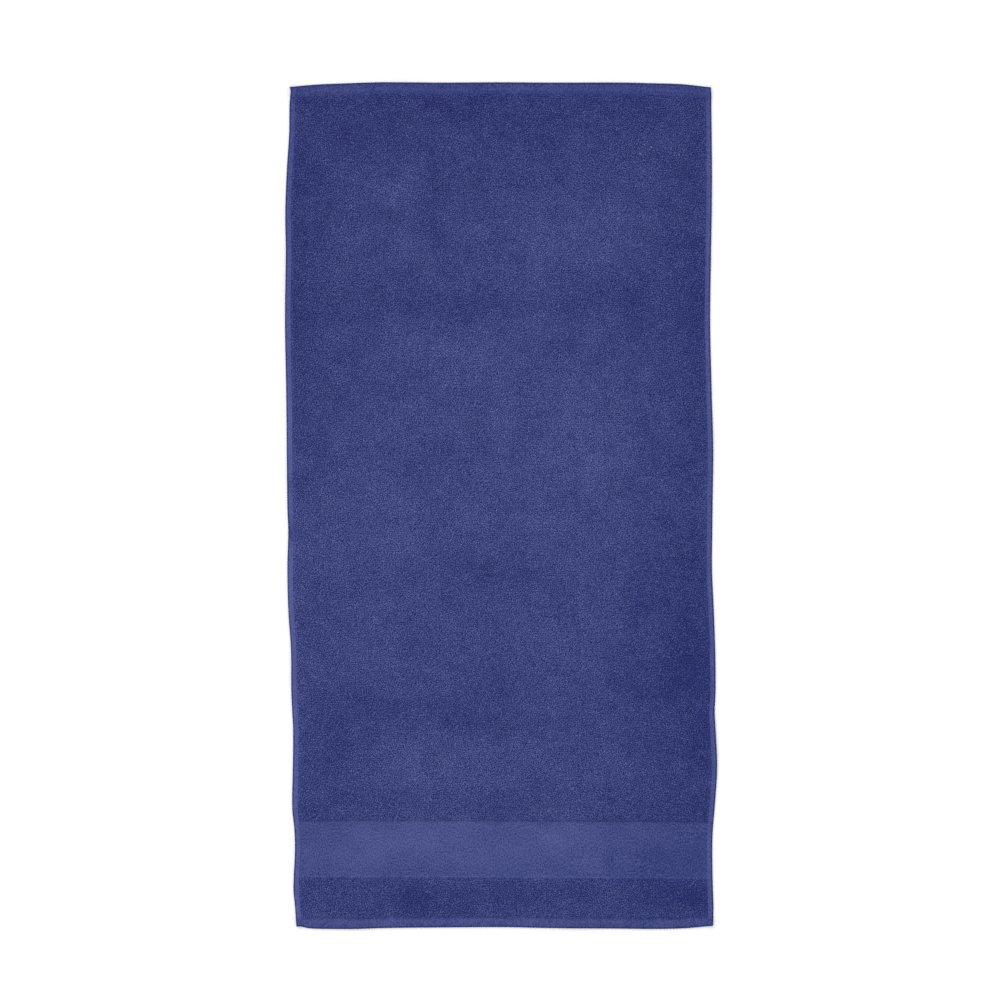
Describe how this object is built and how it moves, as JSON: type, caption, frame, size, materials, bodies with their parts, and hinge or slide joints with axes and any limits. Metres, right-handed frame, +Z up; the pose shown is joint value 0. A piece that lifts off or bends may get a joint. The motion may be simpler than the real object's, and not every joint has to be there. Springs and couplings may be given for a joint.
{
  "type": "bath towel",
  "caption": "Flat-laid terry bath towel, loops on both faces, with a flat-woven border band near one end and turned hems all round.",
  "frame": {"origin": "middle of the towel's outline at the height of the surface it rests on", "axes": "+Z up, +Y along the length from the border end to the plain end, +X across the width"},
  "size_m": [0.7158, 1.4034, 0.0081],
  "materials": {
    "terry_cloth": "matt indigo blue cotton, looped pile with a smoother flat-woven border and hems"
  },
  "bodies": {
    "root": {"towel": "terry_cloth"}
  },
  "joints": []
}
